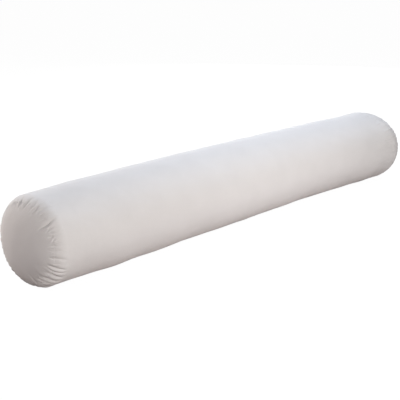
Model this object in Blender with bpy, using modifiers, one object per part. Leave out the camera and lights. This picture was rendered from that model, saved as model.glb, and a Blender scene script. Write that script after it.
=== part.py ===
"""A body pillow: a long round bolster, filled firmly, lying on its side.

A tube of cotton cloth is closed by two round end panels, each sewn in with one ring seam. The filled
tube is one solid. Each end panel is a thin domed sheet that lies on the filling at the tube's end.

Frame: metres, +Z up. The pillow lies along X, with its near end at -X and the surface it rests on at
Z = 0. The origin is the centre of its box, on that surface.
"""

import math

import bmesh
import bpy
from mathutils import Vector

PILLOW = "body_pillow"

# Driving sizes, in metres
OVERALL_LENGTH = 1.356
TUBE_RADIUS = 0.105
SEAM_RADIUS = 0.090
PANEL_THICKNESS = 0.002

# How the tube lies: its middle stands back from its ends, and its far end curls forward
BOW = 0.0145
HOOK = 0.0065
# The filling is fuller in the near half than in the far half, and slimmer where the ends turn in
SWELL = 0.0033
END_TAPER = 0.002
# The pillow's own weight presses its underside flat by this much
FLATTENING = 0.0105

# Gaps between the sewn pieces, so that their solids stay separate
GAP = 0.0004
RIM_GAP = 0.0006

# The cage: columns round the tube and rings along it. Once the columns are subdivided, a quarter
# turn of one column puts them the same distance to the left and right of the underside's middle.
SIDES = 24
COLUMN_TURN = 0.25
TUBE_RINGS = 9
SHOULDER_TURNS = (10.0, 20.0)
CROWN_FRACTIONS = (0.75, 0.4)

# A smooth surface through a ring of points lies inside them: this share of their radius is left
RING_SHARE = 1.0 - (1.0 - math.cos(2.0 * math.pi / SIDES)) / 3.0


class End:
    """One rounded end. Its curve runs from the tube to the tip of the end panel's crown."""

    def __init__(self, name, side, depth, fullness, lean, slew, colour):
        self.name = name
        self.side = side          # -1 for the near end, +1 for the far end
        self.depth = depth        # from where the tube starts to turn in, to the tip
        self.fullness = fullness  # 2 is an ellipse, and more is squarer
        self.lean = lean          # how far the end shifts along X for each metre of height
        self.slew = slew          # the same for each metre sideways
        self.colour = colour
        self.radius = TUBE_RADIUS - END_TAPER

    def outline(self, radius):
        """How far past the tube's end the rounded end reaches, at a radius."""
        share = 1.0 - (radius / self.radius) ** self.fullness
        return self.depth * max(share, 0.0) ** (1.0 / self.fullness)

    def below_outline(self, radius, under):
        """The point that lies this far under the outline's point at a radius: (reach, radius)."""
        reach = self.outline(radius)
        out = Vector((
            (reach / self.depth) ** (self.fullness - 1.0) / self.depth,
            (radius / self.radius) ** (self.fullness - 1.0) / self.radius,
        )).normalized()
        return reach - under * out.x, max(radius - under * out.y, 0.0)

    def shoulder(self, turn):
        """A point of the tube's turned-in end, by its angle in degrees round the outline."""
        power = 2.0 / self.fullness
        angle = math.radians(turn)
        return self.depth * math.sin(angle) ** power, self.radius * math.cos(angle) ** power


NEAR = End("end_panel_near", -1, 0.047, 2.05, 0.026, -0.053, (0.80, 0.78, 0.77))
FAR = End("end_panel_far", +1, 0.085, 2.0, -0.113, -0.149, (0.82, 0.80, 0.79))
ENDS = (NEAR, FAR)

HALF_TUBE = 0.5 * (OVERALL_LENGTH - NEAR.depth - FAR.depth)
MIDDLE = 0.5 * (NEAR.depth - FAR.depth)
REST_HEIGHT = TUBE_RADIUS - FLATTENING
SLANT_FROM = 0.75


def tube_radius(station):
    """The filled radius at a station from -1 to 1 along the tube."""
    return TUBE_RADIUS - END_TAPER * station ** 2 - SWELL * station * (1.0 - station ** 2)


def sideways(station):
    """How far the tube's middle line lies to +Y of the origin."""
    return BOW * (0.4 - station ** 2) + HOOK * (0.6 * station - station ** 3)


def place(station, reach, radius, angle):
    """A point of the lying pillow, from its ring and the angle round it."""
    radius = radius / RING_SHARE
    across = radius * math.cos(angle)
    above = radius * math.sin(angle)
    along = station * HALF_TUBE
    if abs(station) >= 1.0:
        along += math.copysign(reach, station)
    end = ENDS[station > 0.0]
    share = min(max((abs(along) / HALF_TUBE - SLANT_FROM) / (1.0 - SLANT_FROM), 0.0), 1.0)
    slant = share * share * (3.0 - 2.0 * share) * (end.lean * above + end.slew * across)
    return Vector((MIDDLE + along + slant, sideways(along / HALF_TUBE) + across, REST_HEIGHT + above))


def end_rings(end, under, rim):
    """The crown's rings, from its tip to its rim, this far under the outline."""
    rings = [(end.side, end.depth - under, 0.0)]
    for fraction in reversed(CROWN_FRACTIONS):
        rings.append((end.side, *end.below_outline(fraction * SEAM_RADIUS, under)))
    rings.append((end.side, *end.below_outline(rim, under)))
    return rings


def body_rings():
    """The filled body's rings, from the near tip to the far tip, and its four seam rings."""
    rings = []
    seams = []
    for end in ENDS:
        side = end_rings(end, PANEL_THICKNESS + GAP, SEAM_RADIUS)
        side.append((end.side, end.outline(SEAM_RADIUS), SEAM_RADIUS))
        lip = len(side) - 1
        side += [(end.side, *end.shoulder(turn)) for turn in reversed(SHOULDER_TURNS)]
        if end is NEAR:
            rings += side
            seams += [lip - 1, lip]
            stations = [2.0 * ring / (TUBE_RINGS - 1) - 1.0 for ring in range(TUBE_RINGS)]
            rings += [(station, 0.0, tube_radius(station)) for station in stations]
        else:
            rings += reversed(side)
            seams += [len(rings) - 1 - lip, len(rings) - lip]
    return rings, seams


def cage(rings):
    """A sphere's rows moved onto the rings, from the first tip to the last: a soft form's cage."""
    mesh = bmesh.new()
    bmesh.ops.create_uvsphere(mesh, u_segments=SIDES, v_segments=len(rings) - 1, radius=1.0)
    rows = {}
    for vert in mesh.verts:
        row = round(math.acos(min(max(vert.co.z, -1.0), 1.0)) / math.pi * (len(rings) - 1))
        column = round(math.atan2(vert.co.y, vert.co.x) / (2.0 * math.pi) * SIDES)
        angle = (column + COLUMN_TURN) * 2.0 * math.pi / SIDES
        rows[vert] = row
        vert.co = place(*rings[row], angle)
    if rings[0][0] < 0:  # running towards +X mirrors the sphere, which turns its faces inward
        bmesh.ops.reverse_faces(mesh, faces=mesh.faces)
    return mesh, rows


def cloth(name, colour):
    """A matt cotton material."""
    material = bpy.data.materials.new(name)
    material.use_nodes = True
    shader = material.node_tree.nodes["Principled BSDF"]
    shader.inputs["Base Color"].default_value = (*colour, 1.0)
    shader.inputs["Roughness"].default_value = 0.9
    shader.inputs["Metallic"].default_value = 0.0
    return material


def add_object(name, mesh, colour, collection):
    """A smooth-shaded object made from a cage, with one level of subdivision."""
    data = bpy.data.meshes.new(name)
    mesh.to_mesh(data)
    mesh.free()
    data.shade_smooth()
    data.materials.append(cloth(name, colour))
    item = bpy.data.objects.new(name, data)
    collection.objects.link(item)
    smooth = item.modifiers.new("Soft form", "SUBSURF")
    smooth.levels = 1
    smooth.render_levels = 1
    return item


def press_flat(item):
    """Apply the soft form, and lift what reaches below the resting surface onto it."""
    shape = item.evaluated_get(bpy.context.evaluated_depsgraph_get())
    data = bpy.data.meshes.new_from_object(shape)
    for vert in data.vertices:
        vert.co.z = max(vert.co.z, 0.0)
    item.modifiers.clear()
    item.data = data


def make_body(collection):
    """The cloth tube with its filling, rebated at each end for the end panel, and flat underneath."""
    rings, seams = body_rings()
    mesh, rows = cage(rings)
    crease = mesh.edges.layers.float.new("crease_edge")
    for edge in mesh.edges:
        first, second = (rows[vert] for vert in edge.verts)
        if first == second and first in seams:
            edge[crease] = 1.0
    body = add_object("filled_tube", mesh, (0.84, 0.83, 0.83), collection)
    press_flat(body)
    return body


def make_end_panel(end, collection):
    """A round panel, domed by the filling: one end of a closed cage, thickened outward."""
    rings = end_rings(end, PANEL_THICKNESS, SEAM_RADIUS - RIM_GAP)
    spare = [(end.side, 0.0, SEAM_RADIUS), (end.side, 0.0, 0.0)]
    mesh, rows = cage(rings + spare)
    unused = [vert for vert in mesh.verts if rows[vert] >= len(rings)]
    bmesh.ops.delete(mesh, geom=unused, context="VERTS")
    panel = add_object(end.name, mesh, end.colour, collection)
    thicken = panel.modifiers.new("Cloth thickness", "SOLIDIFY")
    thicken.thickness = PANEL_THICKNESS
    thicken.offset = 1.0
    thicken.use_even_offset = True
    return panel


def centre_on_origin(pieces, holder):
    """Hang the pieces from an empty that brings the centre of their box over the origin."""
    depsgraph = bpy.context.evaluated_depsgraph_get()
    corners = []
    for piece in pieces:
        piece.parent = holder
        shape = piece.evaluated_get(depsgraph)
        corners += [vert.co for vert in shape.data.vertices]
    for axis in (0, 1):
        reach = [corner[axis] for corner in corners]
        holder.location[axis] = -0.5 * (min(reach) + max(reach))


def main():
    for item in list(bpy.data.objects):
        bpy.data.objects.remove(item)
    collection = bpy.data.collections.new(PILLOW)
    bpy.context.scene.collection.children.link(collection)
    holder = bpy.data.objects.new(PILLOW, None)
    collection.objects.link(holder)
    pieces = [make_body(collection)]
    pieces += [make_end_panel(end, collection) for end in ENDS]
    centre_on_origin(pieces, holder)


main()
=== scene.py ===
"""A long round body pillow in white cotton, filled firmly, lying on a pale floor.

The pillow is sewn from a tube of cloth and two round end panels. Each piece is a mesh worked out from
the pillow's outline, with the unevenness of its filling, a few soft folds and the puckers of its seams.
The cloth beside the end seams is settled with Blender's cloth simulation, and the result goes into the
meshes.

Lengths are in metres, or in millimetres where a comment says so. The frame is the CAD part's: X along
the pillow, Z up. A place on the cloth is given by its run, which is the distance along the outline from
the near tip, and by the angle round the pillow: 0 degrees is the back, 90 the top, 180 the front and 270
the underside. The near end has side -1 and the far end side 1.
"""

import math

import bpy
import numpy as np
from mathutils import Matrix, Vector


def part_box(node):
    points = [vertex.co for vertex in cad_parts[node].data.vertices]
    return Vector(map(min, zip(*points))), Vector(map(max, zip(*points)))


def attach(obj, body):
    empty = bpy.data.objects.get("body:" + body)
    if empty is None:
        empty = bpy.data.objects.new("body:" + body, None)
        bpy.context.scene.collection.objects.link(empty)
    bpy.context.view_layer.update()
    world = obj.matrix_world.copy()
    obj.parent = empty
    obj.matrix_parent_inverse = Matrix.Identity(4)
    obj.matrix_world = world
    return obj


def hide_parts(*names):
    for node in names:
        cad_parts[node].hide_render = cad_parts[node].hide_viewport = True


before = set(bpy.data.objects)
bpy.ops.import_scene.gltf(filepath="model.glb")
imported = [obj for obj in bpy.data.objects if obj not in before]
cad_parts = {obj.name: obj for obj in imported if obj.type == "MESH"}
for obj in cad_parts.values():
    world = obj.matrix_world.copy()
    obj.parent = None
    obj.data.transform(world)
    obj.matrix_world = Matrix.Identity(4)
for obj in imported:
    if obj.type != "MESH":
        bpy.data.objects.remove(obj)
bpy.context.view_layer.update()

MILLIMETRE = 0.001
FULL_TURN = 2.0 * math.pi


def table(columns, *rows):
    """A short table as a list of dicts, one for each row, with the columns' names as keys."""
    return [dict(zip(columns.split(), row, strict=True)) for row in rows]


# The pillow's driving sizes, the same as the CAD part's
OVERALL_LENGTH = 1.356
TUBE_RADIUS = 0.105
SEAM_RADIUS = 0.090
# How the tube lies: its middle stands back from its ends by about the bow, and its far end curls
# forward. The line of the bow is level with the origin where the square of the station is BOW_LEVEL,
# and HOOK_SLOPE is how steeply the curl starts.
BOW = 0.0145
BOW_LEVEL = 0.4
HOOK = 0.0065
HOOK_SLOPE = 0.6
# The filling is fuller in the near half than in the far half, and slimmer where the ends turn in
SWELL = 0.0033
END_TAPER = 0.002
# The pillow's own weight presses its underside flat by this much
FLATTENING = 0.0105
# The rounded ends: how deep they are, the fullness of their curve (2 is an ellipse, and more is
# squarer), and how far they shift along X for each metre of height and for each metre sideways. The
# shift grows from nothing at this share of the tube's half length.
NEAR_END = {"side": -1, "depth": 0.047, "fullness": 2.05, "lean": 0.026, "slew": -0.053}
FAR_END = {"side": 1, "depth": 0.085, "fullness": 2.0, "lean": -0.113, "slew": -0.149}
SLANT_FROM = 0.75

HALF_TUBE = 0.5 * (OVERALL_LENGTH - NEAR_END["depth"] - FAR_END["depth"])
MIDDLE = 0.5 * (NEAR_END["depth"] - FAR_END["depth"])
REST_HEIGHT = TUBE_RADIUS - FLATTENING


# ---------------------------------------------------------------- the outline and its surface

# How many points the outline has on each rounded end and on the tube, and which one from each tip an
# end seam lies at: the outline's radius there is within 1 mm of the seam radius
END_POINTS = 600
TUBE_POINTS = 400
SEAM_POINT = 399
# How far apart the points are that a normal is worked out from: in metres of run, and in radians
NORMAL_STEP = 0.0008
NORMAL_TURN = 0.01
# How many points along it and round it the pillow's box is worked out from
BOX_RUNS = 400
BOX_TURNS = 240


def tube_radius(station):
    """The filled radius at a station from -1 to 1 along the tube."""
    return TUBE_RADIUS - END_TAPER * station**2 - SWELL * station * (1.0 - station**2)


def sideways(station):
    """How far the tube's middle line lies to the back of the origin."""
    return BOW * (BOW_LEVEL - station**2) + HOOK * (HOOK_SLOPE * station - station**3)


def end_curve(end):
    """One rounded end's curve, from its tip to the tube: how far along, and the radius."""
    angle = np.linspace(0.25 * FULL_TURN, 0.0, END_POINTS)
    power = 2.0 / end["fullness"]
    reach = end["depth"] * np.sin(angle) ** power
    radius = (TUBE_RADIUS - END_TAPER) * np.cos(angle) ** power
    return end["side"] * (HALF_TUBE + reach), radius


def outline():
    """The whole outline from tip to tip: its run, how far along, and the radius."""
    near_along, near_radius = end_curve(NEAR_END)
    far_along, far_radius = end_curve(FAR_END)
    stations = np.linspace(-1.0, 1.0, TUBE_POINTS)[1:-1]
    along = np.concatenate([near_along, stations * HALF_TUBE, far_along[::-1]])
    radius = np.concatenate([near_radius, tube_radius(stations), far_radius[::-1]])
    steps = np.hypot(np.diff(along), np.diff(radius))
    return np.concatenate([[0.0], np.cumsum(steps)]), along, radius


RUN, ALONG, RADIUS = outline()
TOTAL_RUN = RUN[-1]
NEAR_SEAM = float(RUN[SEAM_POINT])
FAR_SEAM = float(RUN[-SEAM_POINT])
SEAMS = {-1: NEAR_SEAM, 1: FAR_SEAM}
TIPS = {-1: 0.0, 1: TOTAL_RUN}


def surface(run, angle):
    """Points of the smooth pillow."""
    along = np.interp(run, RUN, ALONG)
    radius = np.interp(run, RUN, RADIUS)
    across = radius * np.cos(angle)
    above = radius * np.sin(angle)
    share = np.clip((np.abs(along) / HALF_TUBE - SLANT_FROM) / (1.0 - SLANT_FROM), 0.0, 1.0)
    lean = np.where(along < 0.0, NEAR_END["lean"], FAR_END["lean"])
    slew = np.where(along < 0.0, NEAR_END["slew"], FAR_END["slew"])
    slant = share * share * (3.0 - 2.0 * share) * (lean * above + slew * across)
    return np.stack(
        [MIDDLE + along + slant, sideways(along / HALF_TUBE) + across, REST_HEIGHT + above], axis=-1
    )


def outward(run, angle):
    """Unit normals of the smooth pillow. At the tips they point along it."""
    low = np.clip(run - NORMAL_STEP, 0.0, TOTAL_RUN)
    high = np.clip(run + NORMAL_STEP, 0.0, TOTAL_RUN)
    forward = surface(high, angle) - surface(low, angle)
    round_it = surface(run, angle + NORMAL_TURN) - surface(run, angle - NORMAL_TURN)
    normal = np.cross(round_it, forward)
    size = np.linalg.norm(normal, axis=-1, keepdims=True)
    axis = np.zeros_like(normal)
    axis[..., 0] = np.where(run < 0.5 * TOTAL_RUN, -1.0, 1.0)
    return np.where(size > 1e-9, normal / np.maximum(size, 1e-12), axis)


def angle_between(angle, other):
    """How far one angle is past another, from minus to plus half a turn."""
    return np.mod(angle - other + 0.5 * FULL_TURN, FULL_TURN) - 0.5 * FULL_TURN


def frame_offset():
    """What brings these meshes over the CAD part, whose origin is at the middle of its box."""
    runs = np.linspace(0.0, TOTAL_RUN, BOX_RUNS)
    run, angle = np.meshgrid(runs, np.linspace(0.0, FULL_TURN, BOX_TURNS))
    points = surface(run.ravel(), angle.ravel())
    boxes = [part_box(name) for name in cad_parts]
    low = np.min([tuple(box[0]) for box in boxes], axis=0)
    high = np.max([tuple(box[1]) for box in boxes], axis=0)
    offset = 0.5 * (low + high) - 0.5 * (points.min(axis=0) + points.max(axis=0))
    offset[2] = 0.0
    return offset


FRAME_OFFSET = frame_offset()


# ---------------------------------------------------------------- the filling and the soft folds

# How many waves a soft noise is made of, and the shortest and longest half wave as a share of its size
WAVES = 28
WAVE_SPREAD = (0.7, 1.5)
# The lumps of the filling under the cloth: how large they are and how high they stand, in metres, and
# the seed of each kind
LUMPS = table(
    "size depth seed",
    (0.110, 0.00110, 11),
    (0.045, 0.00050, 12),
    (0.016, 0.00014, 13),
)
# The soft folds on the tube: how far along it from the near seam in metres, the angle round it in
# degrees, length, width and depth in millimetres, and which way they run, where 0 is along the pillow
FOLDS = table(
    "along angle length width depth way",
    (0.16, 196, 30, 6, 0.5, 20),
    (0.43, 214, 26, 7, 0.6, 70),
    (0.60, 162, 22, 9, 0.7, 80),
    (0.92, 227, 18, 6, 0.7, 60),
    (0.99, 112, 34, 6, 0.5, 15),
    (1.02, 120, 26, 5, 0.5, 25),
    (1.04, 108, 20, 5, 0.4, 10),
)
# The shape across a fold, where more is squarer. Beside it the cloth stands up by this share of the
# fold's depth, in a swell that falls away this many times as steeply as the fold does.
FOLD_SHARPNESS = 1.5
FOLD_RISE = 0.4
FOLD_RISE_STEEPNESS = 0.45


def soft_noise(points, size, seed):
    """Smooth random values of about -1 to 1, with swellings of this size: a sum of waves."""
    random = np.random.default_rng(seed)
    total = np.zeros(len(points))
    for _ in range(WAVES):
        way = random.normal(size=3)
        way *= math.pi / (size * random.uniform(*WAVE_SPREAD) * np.linalg.norm(way))
        total += np.sin(points @ way + random.uniform(0.0, FULL_TURN))
    return total / math.sqrt(WAVES)


def lumps(points):
    """How far the filling's unevenness lifts the cloth."""
    return sum(lump["depth"] * soft_noise(points, lump["size"], lump["seed"]) for lump in LUMPS)


def folds(run, angle):
    """How far the soft folds draw the cloth in."""
    total = np.zeros(run.shape)
    for fold in FOLDS:
        forward = run - NEAR_SEAM - fold["along"]
        aside = TUBE_RADIUS * angle_between(angle, math.radians(fold["angle"]))
        slope = math.radians(fold["way"])
        half_length = 0.5 * MILLIMETRE * fold["length"]
        half_width = 0.5 * MILLIMETRE * fold["width"]
        lengthways = (forward * math.cos(slope) + aside * math.sin(slope)) / half_length
        across = (aside * math.cos(slope) - forward * math.sin(slope)) / half_width
        crease = np.exp(-np.abs(across) ** FOLD_SHARPNESS)
        crease -= FOLD_RISE * np.exp(-((FOLD_RISE_STEEPNESS * across) ** 2))
        total += MILLIMETRE * fold["depth"] * np.exp(-(lengthways**2)) * crease
    return total


# ---------------------------------------------------------------- the seams

# The puckers on the side that is seen of the near end: the angle round the seam in degrees, how deep
# they are, how far they run down the tube and over the panel in millimetres, and how far they slant on
# each, sideways for each step along
NEAR_PUCKERS = table(
    "angle depth tube panel tube_slant panel_slant",
    (50, 1.5, 9, 8, 0, 0),
    (62, 1.1, 6, 14, 0, 0),
    (67, 1.9, 10, 13, 0.4, 0),
    (73, 0.8, 7, 9, 0, 0),
    (80, 1.8, 13, 19, 0, 0.1),
    (85, 1.2, 9, 12, 0, 0),
    (92.5, 2.1, 19, 18, 0.3, 0.2),
    (99.5, 1.2, 12, 8, 0, 0),
    (105, 2.1, 22, 9, -0.1, 0.4),
    (112, 2.2, 12, 18, 0.1, 0.1),
    (118.5, 1.2, 22, 8, 0.2, 0),
    (124.5, 0.6, 10, 10, 0, 0),
    (131, 0.7, 9, 12, 0, 0),
    (139.7, 3.2, 22, 32, -0.2, 0),
    (146, 1.6, 9, 12, -0.2, -0.6),
    (151.5, 1.5, 14, 6, 0.3, 0),
    (157.5, 1.7, 7, 12, 0, 0),
    (163, 1.7, 11, 8, -0.9, -0.9),
    (169.5, 1.5, 8, 14, 0, 0),
    (177, 0.9, 22, 11, 0, 0),
    (187.4, 1.0, 32, 14, 0.05, 0),
    (194, 0.4, 20, 5, 0, 0),
    (200.6, 2.3, 45, 14, 0.14, 0),
    (207.2, 2.7, 48, 8, 0, 0.2),
    (212.4, 2.5, 46, 22, 0.2, -0.3),
    (223.4, 3.2, 42, 19, 0, -0.4),
    (232.2, 4.8, 24, 22, -0.2, -0.6),
    (241, 3.4, 16, 28, 0, -0.4),
    (249, 2.4, 13, 28, 0, 0),
    (257, 1.6, 12, 20, 0, 0),
)
# The rest of the puckers and the short crinkles between them: how far apart, how deep and how far they
# run, all in millimetres but the depth
PUCKERS = {"spacing": 10.5, "depth": 1.6, "tube": 15, "panel": 12}
CRINKLES = {"spacing": 4.6, "depth": 0.5, "tube": 8, "panel": 7}
# Where the near end's scattered puckers start and stop, in degrees: the side that isn't seen
UNSEEN_SIDE = (260.0, 407.0)
# How uneven scattered puckers are: how far each is from its even place, as a share of the spacing, and
# the spread of its depth, of its lengths and of its slants
SCATTER = {"place": 0.3, "depth": (0.6, 1.25), "tube": 0.28, "panel": (0.65, 1.4), "slant": 0.10}

# A pucker is a valley with a swell on both sides. The valley of a pucker of depth 1 would be this deep
# if its bottom were sharp, and it is never wider than the limit, in millimetres.
PUCKER_DEPTH = 0.0032
PUCKER_WIDTH_LIMIT = 13.0
# How steeply it fades along the tube and over the panel, and how much it narrows to its far end
TUBE_FADE = 1.25
PANEL_FADE = 1.7
PUCKER_NARROWING = 0.35
# How round its bottom is at the seam, and how much rounder at its far end, as shares of its width
SEAM_ROUNDING = 0.04
FAR_ROUNDING = 0.2
# The swell's height as a share of the valley's depth, and its width as a share of the valley's
SWELL_HEIGHT = 0.5
SWELL_WIDTH = 0.75

# The lengthwise seam that closes the tube, low at its back: its angle, how deep it is, how far it
# reaches, the shape across it, where more is squarer, and how far apart its gathers are
CLOSING_ANGLE = math.radians(322.0)
CLOSING_DEPTH = 0.0009
CLOSING_REACH = 0.0016
CLOSING_SHARPNESS = 1.2
CLOSING_GATHERS = 0.045
# The gathers pull the cloth beside it in by this share of its depth, this many times as far out, and
# are this uneven
CLOSING_PULL = 0.35
CLOSING_PULL_REACH = 5.0
CLOSING_PULL_VARIES = 0.7


def scattered(kind, seed, start=0.0, stop=360.0):
    """Puckers of one kind, unevenly spaced over a stretch of the seam: a list of dicts."""
    random = np.random.default_rng(seed)
    count = round(math.radians(stop - start) * SEAM_RADIUS / (MILLIMETRE * kind["spacing"]))
    uneven = SCATTER["place"]
    return [
        {
            "angle": start + (stop - start) * (index + 0.5 + random.uniform(-uneven, uneven)) / count,
            "depth": kind["depth"] * random.uniform(*SCATTER["depth"]),
            "tube": kind["tube"] * random.lognormal(0.0, SCATTER["tube"]),
            "panel": kind["panel"] * random.uniform(*SCATTER["panel"]),
            "tube_slant": random.normal(0.0, SCATTER["slant"]),
            "panel_slant": random.normal(0.0, SCATTER["slant"]),
        }
        for index in range(count)
    ]


def with_widths(puckers):
    """Give each pucker half the distance between its neighbours as its width, in millimetres."""
    puckers = sorted(puckers, key=lambda pucker: pucker["angle"] % 360.0)
    for index, pucker in enumerate(puckers):
        after = puckers[(index + 1) % len(puckers)]["angle"]
        before = puckers[index - 1]["angle"]
        pucker["width"] = 1000.0 * SEAM_RADIUS * math.radians((after - before) % 360.0) / 2.0
    return puckers


ALL_NEAR_PUCKERS = NEAR_PUCKERS + scattered(PUCKERS, 3, *UNSEEN_SIDE)
SEAM_PUCKERS = {
    -1: with_widths(ALL_NEAR_PUCKERS) + with_widths(scattered(CRINKLES, seed=4)),
    1: with_widths(scattered(PUCKERS, seed=8)) + with_widths(scattered(CRINKLES, seed=9)),
}


def pucker_depth(from_seam, angle, radius, puckers):
    """How far the puckers draw the cloth in. from_seam is positive on the tube."""
    total = np.zeros(from_seam.shape)
    on_tube = from_seam > 0.0
    for pucker in puckers:
        length = MILLIMETRE * np.where(on_tube, pucker["tube"], pucker["panel"])
        away = np.minimum(np.abs(from_seam) / length, 1.0)
        fade = np.where(on_tube, (1.0 - away) ** TUBE_FADE, 1.0 - away**PANEL_FADE)
        slant = np.where(on_tube, pucker["tube_slant"], pucker["panel_slant"])
        aside = angle_between(angle, math.radians(pucker["angle"])) * radius - slant * from_seam
        width = MILLIMETRE * min(pucker["width"], PUCKER_WIDTH_LIMIT) * (1.0 - PUCKER_NARROWING * away)
        across = np.sqrt((aside / width) ** 2 + (SEAM_ROUNDING + FAR_ROUNDING * away) ** 2)
        valley = np.maximum(1.0 - across, 0.0) ** 2
        swell = SWELL_HEIGHT * np.exp(-((aside / (SWELL_WIDTH * width)) ** 2))
        total += PUCKER_DEPTH * pucker["depth"] * fade * (valley - swell)
    return total


def closing_seam(run, angle):
    """How far the tube's lengthwise seam draws the cloth in."""
    aside = np.abs(angle_between(angle, CLOSING_ANGLE)) * TUBE_RADIUS
    gather = 1.0 + CLOSING_PULL_VARIES * np.sin(run * FULL_TURN / CLOSING_GATHERS)
    groove = CLOSING_DEPTH * np.exp(-((aside / CLOSING_REACH) ** CLOSING_SHARPNESS))
    far = aside / (CLOSING_PULL_REACH * CLOSING_REACH)
    pull = CLOSING_PULL * CLOSING_DEPTH * gather * np.exp(-(far**2))
    return np.where((run > NEAR_SEAM) & (run < FAR_SEAM), groove + pull, 0.0)


# ---------------------------------------------------------------- faces between rings of vertices


def ring_faces(first, second):
    """Faces between two rings of vertex numbers, which may have one, half or twice as many."""
    if len(first) == 1:
        return [(first[0], second[k], second[k - 1]) for k in range(len(second))]
    if len(second) == 1:
        return [(first[k - 1], first[k], second[0]) for k in range(len(first))]
    if len(first) == len(second):
        return [(first[k - 1], first[k], second[k], second[k - 1]) for k in range(len(first))]
    faces = []
    if len(second) == 2 * len(first):
        for k in range(len(first)):
            after = (k + 1) % len(first)
            faces += [
                (first[k], second[2 * k + 1], second[2 * k]),
                (first[k], first[after], second[2 * k + 1]),
                (first[after], second[2 * after], second[2 * k + 1]),
            ]
        return faces
    for k in range(len(second)):
        after = (k + 1) % len(second)
        faces += [
            (first[2 * k], first[2 * k + 1], second[k]),
            (first[2 * k + 1], second[after], second[k]),
            (first[2 * k + 1], first[2 * after], second[after]),
        ]
    return faces


# ---------------------------------------------------------------- the cloth settles at its end seams

# The strip of cloth beside a seam that is simulated, from the panel to the tube, in millimetres from
# the seam: where each zone starts and stops, and how far apart its rings are
STRIP_ZONES = table(
    "start stop step",
    (-48, -30, 3.0),
    (-30, 36, 1.5),
    (36, 60, 2.4),
    (60, 88, 4.0),
)
STRIP_COLUMNS = 480
# How many rings at each edge of the strip are held in place
HELD_RINGS = 2
# How much more girth the cloth has than its seam, by the angle round it in degrees, and how far that
# reaches over the tube and the panel in millimetres. The near end's cloth is slackest low on the side
# that is seen.
NEAR_SPARE = table(
    "angle spare tube panel",
    (0, 0.07, 32, 24),
    (50, 0.15, 30, 32),
    (95, 0.15, 32, 32),
    (120, 0.13, 34, 34),
    (150, 0.08, 24, 28),
    (180, 0.05, 26, 18),
    (190, 0.06, 40, 13),
    (202, 0.15, 60, 13),
    (212, 0.16, 60, 32),
    (220, 0.17, 58, 44),
    (240, 0.17, 38, 50),
    (260, 0.14, 32, 40),
    (300, 0.06, 30, 24),
)
FAR_SPARE = table(
    "angle spare tube panel",
    (0, 0.12, 34, 30),
    (120, 0.14, 40, 30),
    (240, 0.12, 34, 30),
)
SEAM_SPARE = {-1: NEAR_SPARE, 1: FAR_SPARE}
# The spare girth that a weight of 0 stands for, and how steeply the spare girth falls off from the seam
MOST_SPARE = 0.2
SPARE_TAPER = 1.3
# The solver works on a copy this many times as large, for this many frames. The other three are the
# solver's own settings.
SIM_SCALE = 10.0
SIM_FRAMES = 12
SIM_QUALITY = 5
SIM_PRESSURE = 2.5
SIM_BENDING = 0.001
# The furthest that the cloth may settle in or out
SETTLED_LIMIT = 0.004
# Drifts that go round in fewer than about this many waves are left out, so that the outline stays
DRIFT_WAVES = 9.0
# The settled strip's share in the surface. The rest is the placed puckers'.
SETTLED_SHARE = 0.55


def strip_rings():
    """How far each ring of a strip is from its seam."""
    rings = []
    for zone in STRIP_ZONES:
        rings.append(np.arange(zone["start"], zone["stop"] - 0.5 * zone["step"], zone["step"]))
    return MILLIMETRE * np.concatenate([*rings, [STRIP_ZONES[-1]["stop"]]])


STRIP_RINGS = strip_rings()
STRIP_ANGLES = np.arange(STRIP_COLUMNS) * FULL_TURN / STRIP_COLUMNS


def spare_girth(spare, from_seam, angle):
    """The cloth's spare girth at points of a strip, as a share."""
    turns = [row["angle"] for row in spare]
    share, tube, panel = (
        np.interp(np.degrees(angle), turns, [row[name] for row in spare], period=360.0)
        for name in ("spare", "tube", "panel")
    )
    away = np.abs(from_seam) / (MILLIMETRE * np.where(from_seam > 0.0, tube, panel))
    return share * np.clip(1.0 - away, 0.0, 1.0) ** SPARE_TAPER


def add_strip(points, spare):
    """A strip of cloth from rings of points, with its edges held and its spare girth as weights."""
    numbers = np.arange(spare.size).reshape(spare.shape)
    faces = [face for pair in zip(numbers.tolist(), numbers.tolist()[1:]) for face in ring_faces(*pair)]
    mesh = bpy.data.meshes.new("strip")
    mesh.from_pydata((SIM_SCALE * points).reshape(-1, 3).tolist(), [], faces)
    strip = bpy.data.objects.new("strip", mesh)
    bpy.context.scene.collection.objects.link(strip)
    held = strip.vertex_groups.new(name="held")
    edges = np.concatenate([numbers[:HELD_RINGS], numbers[-HELD_RINGS:]])
    held.add(edges.ravel().tolist(), 1.0, "REPLACE")
    # A weight of 1 leaves the cloth as it is, and a weight of 0 gives it the most spare girth
    fitted = strip.vertex_groups.new(name="fitted")
    for number, weight in enumerate(np.round(1.0 - spare.ravel() / MOST_SPARE, 4).tolist()):
        fitted.add([number], weight, "REPLACE")
    return strip


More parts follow.
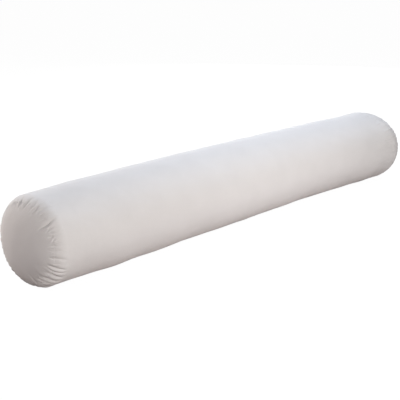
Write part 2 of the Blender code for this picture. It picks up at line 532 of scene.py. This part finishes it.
def simulate_cloth(points, spare):
    """Let a strip of cloth buckle under the filling's pressure, and give its points' new places."""
    strip = add_strip(points, spare)
    cloth = strip.modifiers.new("cloth", "CLOTH")
    settings = cloth.settings
    settings.quality = SIM_QUALITY
    settings.bending_stiffness = SIM_BENDING
    settings.use_pressure = True
    settings.uniform_pressure_force = SIM_PRESSURE
    settings.effector_weights.gravity = 0.0
    settings.vertex_group_mass = "held"
    settings.vertex_group_shrink = "fitted"
    settings.shrink_max = 0.0
    settings.shrink_min = -MOST_SPARE
    cloth.collision_settings.use_collision = False
    cloth.point_cache.frame_end = SIM_FRAMES
    for number in range(1, SIM_FRAMES + 1):
        bpy.context.scene.frame_set(number)
    settled = strip.evaluated_get(bpy.context.evaluated_depsgraph_get()).data
    flat = np.empty(points.size, dtype=np.float32)
    settled.vertices.foreach_get("co", flat)
    bpy.context.scene.frame_set(1)
    mesh = strip.data
    bpy.data.objects.remove(strip)
    bpy.data.meshes.remove(mesh)
    return flat.reshape(points.shape).astype(float) / SIM_SCALE


def settled_strip(side):
    """How far in from the smooth pillow the cloth beside an end seam comes to lie."""
    from_seam, angle = np.meshgrid(STRIP_RINGS, STRIP_ANGLES, indexing="ij")
    run = SEAMS[side] - side * from_seam
    placed = pucker_depth(from_seam, angle, np.interp(run, RUN, RADIUS), SEAM_PUCKERS[side])
    smooth, normal = surface(run, angle), outward(run, angle)
    spare = spare_girth(SEAM_SPARE[side], from_seam, angle)
    settled = simulate_cloth(smooth - normal * placed[..., None], spare)
    waves = np.fft.rfft(((smooth - settled) * normal).sum(axis=-1), axis=1)
    waves *= 1.0 - np.exp(-((np.arange(waves.shape[1]) / DRIFT_WAVES) ** 2))
    depth = np.clip(np.fft.irfft(waves, n=STRIP_COLUMNS, axis=1), -SETTLED_LIMIT, SETTLED_LIMIT)
    return SETTLED_SHARE * depth + (1.0 - SETTLED_SHARE) * placed


STRIPS = {side: settled_strip(side) for side in (-1, 1)}


def between(place):
    """The four neighbours before and after each place on a grid, and their shares in a smooth curve."""
    first = np.floor(place).astype(int)
    t = place - first
    shares = (-t + 2 * t**2 - t**3, 2 - 5 * t**2 + 3 * t**3, t + 4 * t**2 - 3 * t**3, t**3 - t**2)
    return [(first + step, 0.5 * share) for step, share in zip((-1, 0, 1, 2), shares)]


def strip_depth(strip, from_seam, angle):
    """Values of a settled strip between its rings and columns."""
    last = len(STRIP_RINGS) - 1
    rings = between(np.interp(from_seam, STRIP_RINGS, np.arange(last + 1)))
    columns = between(np.mod(angle, FULL_TURN) * STRIP_COLUMNS / FULL_TURN)
    total = np.zeros(from_seam.shape)
    for ring, ring_share in rings:
        for column, column_share in columns:
            total += ring_share * column_share * strip[np.clip(ring, 0, last), column % STRIP_COLUMNS]
    return total


def drawn_in(run, angle):
    """How far the end seams and their puckers draw the cloth in."""
    total = np.zeros(run.shape)
    for side, seam in SEAMS.items():
        from_seam = side * (seam - run)
        near = (from_seam > STRIP_RINGS[0]) & (from_seam < STRIP_RINGS[-1])
        total[near] = strip_depth(STRIPS[side], from_seam[near], angle[near])
    return total


def cloth_depth(run, angle):
    """How far in from the smooth pillow the cloth lies."""
    uneven = lumps(surface(run, angle))
    return drawn_in(run, angle) + closing_seam(run, angle) + folds(run, angle) - uneven


# ---------------------------------------------------------------- meshes

# How many columns of vertices a piece has at its end seams
END_COLUMNS = 640
# Columns stand closer together beside the closing seam: their spacing there as a share of the even one,
# and how wide the crowded part is, in radians
CLOSING_CROWDING = 0.3
CLOSING_WIDTH = 0.16
# How far from the seam a panel's rim is, in millimetres
RIM_GAP = 0.1
# Rings beside a seam, in millimetres: where each zone starts and stops, how far apart its rings are, and
# how many times fewer columns it has than the seam
TUBE_ZONES = table(
    "start stop step coarser",
    (0, 3, 0.5, 1),
    (3, 14, 1.1, 1),
    (14, 50, 1.8, 1),
    (50, 84, 4.2, 1),
)
PANEL_ZONES = table(
    "start stop step coarser",
    (RIM_GAP, 3, 0.5, 1),
    (3, 16, 1.1, 1),
    (16, 40, 2.0, 2),
    (40, 74, 4.0, 4),
    (74, 88, 5.0, 8),
)
LINING_ZONES = table(
    "start stop step coarser",
    (RIM_GAP, 1, 0.9, 1),
    (1, 10, 3.0, 2),
    (10, 88, 6.0, 4),
)
# How far apart the rings are along the middle of the tube, in metres
MIDDLE_STEP = 0.0125
# How far under its outer face an end panel's inner face lies
PANEL_THICKNESS = 0.0010
# Where the tube turns in at its seam, under the panel's rim: how far past the seam, and how deep
TUCK = 0.00004
TUCK_DEPTH = 0.0015
# Under the panel it closes over the filling this deep: where its first two rings are, and the step
HIDDEN_DEPTH = 0.0075
HIDDEN_FIRST = 0.010
HIDDEN_SECOND = 0.022
HIDDEN_STEP = 0.012


def column_angles(columns):
    """The angles of a ring's vertices, closer together beside the closing seam."""
    even = np.arange(columns) * FULL_TURN / columns
    aside = angle_between(even, CLOSING_ANGLE) / CLOSING_WIDTH
    crowding = (1.0 - CLOSING_CROWDING) * CLOSING_WIDTH
    return even - crowding * aside * np.exp(-(aside**2))


def corner_map(mesh, name, across, along, turns=None):
    """A UV map from two values a vertex. A face that spans the map's wrap is kept in one piece."""
    corners = np.empty(len(mesh.loops), dtype=np.int32)
    mesh.loops.foreach_get("vertex_index", corners)
    starts = np.empty(len(mesh.polygons), dtype=np.int32)
    mesh.polygons.foreach_get("loop_start", starts)
    across = across[corners]
    if turns:
        counts = np.diff(np.append(starts, len(corners)))
        highest = np.repeat(np.maximum.reduceat(across, starts), counts)
        across = np.where(highest - across > 0.5 * turns, across + turns, across)
    flat = np.stack([across, along[corners]], axis=-1)
    mesh.uv_layers.new(name=name).uv.foreach_set("vector", flat.astype(np.float32).ravel())


def add_maps(mesh, run, angle):
    """The flat cloth of the weave, and the way round the seam and from it, both in metres."""
    if run.max() - run.min() > HALF_TUBE:
        corner_map(mesh, "weave", angle * TUBE_RADIUS, run, FULL_TURN * TUBE_RADIUS)
    else:
        reach = np.minimum(run, TOTAL_RUN - run)
        corner_map(mesh, "weave", reach * np.cos(angle), reach * np.sin(angle))
    from_seam = np.minimum(run - NEAR_SEAM, FAR_SEAM - run)
    corner_map(mesh, "seam", angle * SEAM_RADIUS, from_seam, FULL_TURN * SEAM_RADIUS)


def sharpen_rims(mesh, rows, ends):
    """Mark the edges of the rings where the cloth turns in at a seam."""
    ring_of = np.repeat(np.arange(len(rows)), np.diff([0, *ends]))
    depth = np.array([under for _, _, under in rows])
    turned = np.zeros(len(rows), dtype=bool)
    turned[:-1] |= (depth[:-1] == 0.0) & (depth[1:] > 0.0)
    turned[1:] |= (depth[1:] == 0.0) & (depth[:-1] > 0.0)
    edges = np.empty(2 * len(mesh.edges), dtype=np.int32)
    mesh.edges.foreach_get("vertices", edges)
    first, second = ring_of[edges.reshape(-1, 2)].T
    sharp = mesh.attributes.new("sharp_edge", "BOOLEAN", "EDGE")
    sharp.data.foreach_set("value", (first == second) & turned[first])


def skin(name, rows):
    """A mesh of rings. Each row is a ring's run, its columns, and how far under the cloth it lies."""
    run = np.concatenate([np.full(columns, place) for place, columns, _ in rows])
    angle = np.concatenate([column_angles(columns) for _, columns, _ in rows])
    under = np.concatenate([np.full(columns, depth) for _, columns, depth in rows])
    points = surface(run, angle) - outward(run, angle) * (cloth_depth(run, angle) + under)[:, None]
    points[:, 2] = np.maximum(points[:, 2], 0.0)
    ends = np.cumsum([columns for _, columns, _ in rows]).tolist()
    numbers = [range(last - columns, last) for last, (_, columns, _) in zip(ends, rows)]
    faces = [face for pair in zip(numbers, numbers[1:]) for face in ring_faces(*pair)]
    mesh = bpy.data.meshes.new(name)
    mesh.from_pydata((points + FRAME_OFFSET).tolist(), [], faces)
    mesh.shade_smooth()
    sharpen_rims(mesh, rows, ends)
    add_maps(mesh, run, angle)
    piece = bpy.data.objects.new(name, mesh)
    bpy.context.scene.collection.objects.link(piece)
    return piece


def spaced(start, stop, step):
    """Distances from start to just before stop, about step apart."""
    return np.linspace(start, stop, max(1, round(abs((stop - start) / step))), endpoint=False).tolist()


def beside_seam(zones):
    """Rings beside a seam: how far from it, and how many columns."""
    return [
        (MILLIMETRE * run, END_COLUMNS // zone["coarser"])
        for zone in zones
        for run in spaced(zone["start"], zone["stop"], zone["step"])
    ]


def tube_end_rows(side):
    """The tube's rings at one end, from its tip. Under the end panel it closes over the filling."""
    seam, tip = SEAMS[side], TIPS[side]
    hidden = spaced(HIDDEN_SECOND, abs(tip - seam), HIDDEN_STEP)
    return [
        (tip, 1, HIDDEN_DEPTH),
        *((seam + side * run, END_COLUMNS // 4, HIDDEN_DEPTH) for run in reversed(hidden)),
        (seam + side * HIDDEN_FIRST, END_COLUMNS // 2, HIDDEN_DEPTH),
        (seam + side * TUCK, END_COLUMNS, TUCK_DEPTH),
        *((seam - side * run, columns, 0.0) for run, columns in beside_seam(TUBE_ZONES)),
    ]


def tube_rows():
    """The tube's rings, from tip to tip."""
    beside = MILLIMETRE * TUBE_ZONES[-1]["stop"]
    start, stop = NEAR_SEAM + beside, FAR_SEAM - beside
    middle = [(run, END_COLUMNS // 2, 0.0) for run in [*spaced(start, stop, MIDDLE_STEP), stop]]
    return [*tube_end_rows(-1), *middle, *reversed(tube_end_rows(1))]


def panel_rows(side):
    """An end panel's rings: over its outer face to the rim, and back over its inner face."""
    seam, tip = SEAMS[side], TIPS[side]
    outer = [(seam + side * run, columns, 0.0) for run, columns in beside_seam(PANEL_ZONES)]
    inner = [(seam + side * run, columns, PANEL_THICKNESS) for run, columns in beside_seam(LINING_ZONES)]
    rows = [(tip, 1, 0.0), *reversed(outer), *inner, (tip, 1, PANEL_THICKNESS)]
    return rows if side < 0 else rows[::-1]


# ---------------------------------------------------------------- materials

CLOTH_COLOUR = (0.76, 0.755, 0.755)
# The weave: how far apart its threads are, and how high they and their thicker places stand
THREAD = 0.00052
THREAD_HEIGHT = 0.00003
SLUB_HEIGHT = 0.00003
# How many slubs there are to a metre, along a thread and across the threads
SLUBS_ALONG = 30.0
SLUBS_ACROSS = 900.0
# The fine crumple: how high it stands, and the size and kind of its noise
CRUMPLE_HEIGHT = 0.00022
CRUMPLE = {"scale": 95.0, "detail": 3.0, "roughness": 0.45}
# The stitches of the end seams: how far apart, how deep, and how far the dimples reach
STITCH_LENGTH = 0.0030
STITCH_DEPTH = 0.00025
STITCH_REACH = 0.0006
# The cloth's shade drifts in soft patches and from thread to thread: the share of each, the darkest and
# the lightest shade as a share of the colour, and the values of the noise that they stand at
PATCHES = {"scale": 14.0, "detail": 3.0}
PATCH_SHARE = 0.6
THREAD_SHARE = 0.4
DARKEST, DARKEST_AT = 0.965, 0.3
LIGHTEST, LIGHTEST_AT = 1.02, 0.7
# Matt, with a trace of sheen
COTTON_FINISH = {
    "Roughness": 0.88,
    "Specular IOR Level": 0.25,
    "Sheen Weight": 0.15,
    "Sheen Roughness": 0.6,
}


def set_inputs(node, values):
    """Give a node's named inputs their values."""
    for name, value in values.items():
        node.inputs[name].default_value = value


def add_node(tree, kind, *inputs, **settings):
    """A shader node with its settings. Each input is a socket to link, a value, or None."""
    node = tree.nodes.new("ShaderNode" + kind)
    for name, value in settings.items():
        setattr(node, name, value)
    for socket, value in zip(node.inputs, inputs):
        if isinstance(value, bpy.types.NodeSocket):
            tree.links.new(value, socket)
        elif value is not None:
            socket.default_value = value
    return node


def maths(tree, operation, *inputs):
    """The result of a Math node."""
    return add_node(tree, "Math", *inputs, operation=operation).outputs[0]


def times(tree, first, second):
    """The product of two values."""
    return maths(tree, "MULTIPLY", first, second)


def map_place(tree, name):
    """The two values of a UV map."""
    return add_node(tree, "SeparateXYZ", add_node(tree, "UVMap", uv_map=name).outputs[0]).outputs


def noise(tree, place, scale, detail=2.0, roughness=0.5):
    """A noise of about 0 to 1. place is a vector in metres, and scale is cells for each metre."""
    node = add_node(tree, "TexNoise", place)
    set_inputs(node, {"Scale": scale, "Detail": detail, "Roughness": roughness})
    return node.outputs[0]


def slubs(tree, along, across):
    """A noise for how thick the threads that run one way are."""
    stretched = add_node(
        tree, "CombineXYZ", times(tree, along, SLUBS_ALONG), times(tree, across, SLUBS_ACROSS)
    )
    return noise(tree, stretched.outputs[0], 1.0)


def weave_height(tree, across, along, thick):
    """A plain weave: threads pass over and under each other, and are thicker here and there."""
    waves = [maths(tree, "SINE", times(tree, place, math.pi / THREAD)) for place in (across, along)]
    weave = times(tree, times(tree, *waves), THREAD_HEIGHT)
    return maths(tree, "ADD", weave, times(tree, thick, SLUB_HEIGHT))


def stitch_height(tree):
    """Short dimples in the fold of an end seam, where its stitches pull."""
    round_seam, from_seam = map_place(tree, "seam")[:2]
    beside = maths(tree, "DIVIDE", from_seam, STITCH_REACH)
    line = maths(tree, "EXPONENT", times(tree, times(tree, beside, beside), -1.0))
    step = times(tree, round_seam, FULL_TURN / STITCH_LENGTH)
    pull = maths(tree, "MULTIPLY_ADD", maths(tree, "SINE", step), 0.5, 0.5)
    return times(tree, times(tree, line, pull), -STITCH_DEPTH)


def add_bump(tree, height, shader):
    """Give the shader's surface this height in metres."""
    bump = add_node(tree, "Bump")
    set_inputs(bump, {"Distance": 1.0, "Strength": 1.0})
    tree.links.new(height, bump.inputs["Height"])
    tree.links.new(bump.outputs[0], shader.inputs["Normal"])


def add_shade(tree, blend, colour, shader):
    """Shade the colour by a noise of about 0 to 1."""
    ramp = add_node(tree, "ValToRGB", blend)
    dark, light = ramp.color_ramp.elements
    dark.position, light.position = DARKEST_AT, LIGHTEST_AT
    dark.color = (*(DARKEST * value for value in colour), 1.0)
    light.color = (*(min(1.0, LIGHTEST * value) for value in colour), 1.0)
    tree.links.new(ramp.outputs[0], shader.inputs["Base Color"])


def cotton(name, colour):
    """Matt white cotton sheeting: plain weave, fine crumple, and a colour that is not quite even."""
    material = bpy.data.materials.new(name)
    material.use_nodes = True
    tree = material.node_tree
    shader = tree.nodes["Principled BSDF"]
    across, along = map_place(tree, "weave")[:2]
    solid = add_node(tree, "TexCoord").outputs["Object"]
    thick = maths(tree, "ADD", slubs(tree, across, along), slubs(tree, along, across))
    weave = weave_height(tree, across, along, thick)
    crumple = times(tree, noise(tree, solid, **CRUMPLE), CRUMPLE_HEIGHT)
    height = maths(tree, "ADD", maths(tree, "ADD", weave, crumple), stitch_height(tree))
    add_bump(tree, height, shader)
    patches = times(tree, noise(tree, solid, **PATCHES), PATCH_SHARE)
    threads = times(tree, thick, 0.5)
    add_shade(tree, maths(tree, "MULTIPLY_ADD", threads, THREAD_SHARE, patches), colour, shader)
    set_inputs(shader, COTTON_FINISH)
    return material


# ---------------------------------------------------------------- the pieces


def add_piece(name, rows, node, material):
    """One of the pillow's pieces, in place of the CAD part's."""
    piece = skin(name, rows)
    piece.data.materials.append(material)
    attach(piece, "root")
    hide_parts(node)
    return piece


def make_pillow():
    """The tube and its two end panels, in two alike materials."""
    tube_cotton = cotton("white cotton", CLOTH_COLOUR)
    end_cotton = cotton("white cotton of the ends", CLOTH_COLOUR)
    tube = add_piece("pillow_tube", tube_rows(), "filled_tube", tube_cotton)
    for side, name in ((-1, "near"), (1, "far")):
        panel = add_piece(
            f"pillow_end_{name}", panel_rows(side), f"end_panel_{name}", end_cotton
        )


# ---------------------------------------------------------------- the camera and the studio

# The camera stands to the front and left of the pillow, a little above it. It looks at the middle of
# the pillow's length at the aim height from this far away, and is then moved this far to its left and
# down. The sight is how far it sees.
CAMERA_AZIMUTH = math.radians(-46.35)
CAMERA_ELEVATION = math.radians(16.85)
CAMERA_DISTANCE = 2.353
CAMERA_ASIDE = 0.0674
CAMERA_BELOW = 0.0445
CAMERA_AIM_HEIGHT = 0.0975
CAMERA_LENS = 81.0
CAMERA_SENSOR = 36.0
CAMERA_SIGHT = 100.0

# Soft round lamps: where they hang, how wide they are, their power in watts and their colour
LAMPS = table(
    "name place size power colour",
    ("behind on the left", (-1.2, 2.2, 0.9), 1.4, 46.0, (1.0, 0.92, 0.86)),
    ("front left", (-0.6, -2.2, 1.0), 1.4, 13.2, (1.0, 1.0, 0.98)),
    ("left", (-2.4, 0.0, 1.0), 1.4, 5.0, (1.0, 0.85, 0.83)),
    ("above, near", (0.0, 0.5, 1.5), 0.9, 7.1, (0.78, 0.87, 1.0)),
    ("above, far", (0.7, 0.5, 1.6), 1.2, 12.4, (0.81, 0.87, 1.0)),
    ("low on the left", (-1.2, -1.6, 0.3), 1.0, 8.3, (1.0, 0.92, 0.87)),
    ("low in front", (-0.3, -1.6, 0.2), 0.9, 3.5, (1.0, 0.89, 0.81)),
    ("low and near", (0.2, -0.9, 0.25), 0.5, 2.6, (1.0, 0.97, 0.96)),
    ("low behind on the right", (2.2, 1.6, 0.4), 1.2, 20.0, (1.0, 0.95, 0.9)),
)
SURROUNDINGS = (0.15, 0.15, 0.15, 1.0)
# The floor, of two sheets just under the pillow. The one that is seen glows almost white by itself: were
# it brighter than white, it would eat into the pillow's outline. The other lights the pillow from below.
FLOOR_REACH = 20.0
FLOOR_HEIGHT = -0.0005
FLOOR_COLOUR = (0.06, 0.06, 0.06, 1.0)
FLOOR_GLOW = 0.97
RETURN_HEIGHT = -0.0010
RETURN_COLOUR = (0.67, 0.57, 0.555, 1.0)
FLOOR_FINISH = {"Roughness": 0.95, "Specular IOR Level": 0.1, "Emission Color": (1.0, 1.0, 1.0, 1.0)}


def add_camera():
    back = Vector((
        math.sin(CAMERA_AZIMUTH) * math.cos(CAMERA_ELEVATION),
        -math.cos(CAMERA_AZIMUTH) * math.cos(CAMERA_ELEVATION),
        math.sin(CAMERA_ELEVATION),
    ))
    right = Vector((0.0, 0.0, 1.0)).cross(back).normalized()
    up = back.cross(right)
    middle = Vector(FRAME_OFFSET) + Vector((MIDDLE, 0.0, CAMERA_AIM_HEIGHT))
    data = bpy.data.cameras.new("camera")
    data.lens = CAMERA_LENS
    data.sensor_width = CAMERA_SENSOR
    data.clip_end = CAMERA_SIGHT
    camera = bpy.data.objects.new("camera", data)
    bpy.context.scene.collection.objects.link(camera)
    place = middle + back * CAMERA_DISTANCE - right * CAMERA_ASIDE - up * CAMERA_BELOW
    turn = Matrix((right, up, back)).transposed().to_4x4()
    camera.matrix_world = Matrix.Translation(place) @ turn
    bpy.context.scene.camera = camera


def add_lamp(name, place, size, power, colour):
    """A soft round lamp that shines on the middle of the pillow."""
    data = bpy.data.lights.new(name, "AREA")
    data.shape = "DISK"
    data.size = size
    data.energy = power
    data.color = colour
    lamp = bpy.data.objects.new(name, data)
    bpy.context.scene.collection.objects.link(lamp)
    lamp.location = place
    aim = Vector((0.0, 0.0, TUBE_RADIUS)) - Vector(place)
    lamp.rotation_euler = aim.to_track_quat("-Z", "Y").to_euler()


def add_floor(name, height, colour, glow):
    """One large level sheet, and what it is made of."""
    signs = ((-1, -1), (1, -1), (1, 1), (-1, 1))
    corners = [(x * FLOOR_REACH, y * FLOOR_REACH, height) for x, y in signs]
    mesh = bpy.data.meshes.new(name)
    mesh.from_pydata(corners, [], [(0, 1, 2, 3)])
    floor = bpy.data.objects.new(name, mesh)
    bpy.context.scene.collection.objects.link(floor)
    paper = bpy.data.materials.new(name)
    paper.use_nodes = True
    shader = paper.node_tree.nodes["Principled BSDF"]
    set_inputs(shader, {"Base Color": colour, "Emission Strength": glow, **FLOOR_FINISH})
    floor.data.materials.append(paper)
    return floor


def add_floors():
    seen = add_floor("floor", FLOOR_HEIGHT, FLOOR_COLOUR, FLOOR_GLOW)
    seen.visible_diffuse = False
    seen.visible_glossy = False
    unseen = add_floor("floor_return", RETURN_HEIGHT, RETURN_COLOUR, 0.0)
    unseen.visible_camera = False


def add_surroundings():
    world = bpy.data.worlds.new("studio")
    bpy.context.scene.world = world
    world.use_nodes = True
    world.node_tree.nodes["Background"].inputs["Color"].default_value = SURROUNDINGS


add_camera()
make_pillow()
for lamp in LAMPS:
    add_lamp(**lamp)
add_floors()
add_surroundings()
bpy.context.scene.view_settings.view_transform = "Standard"
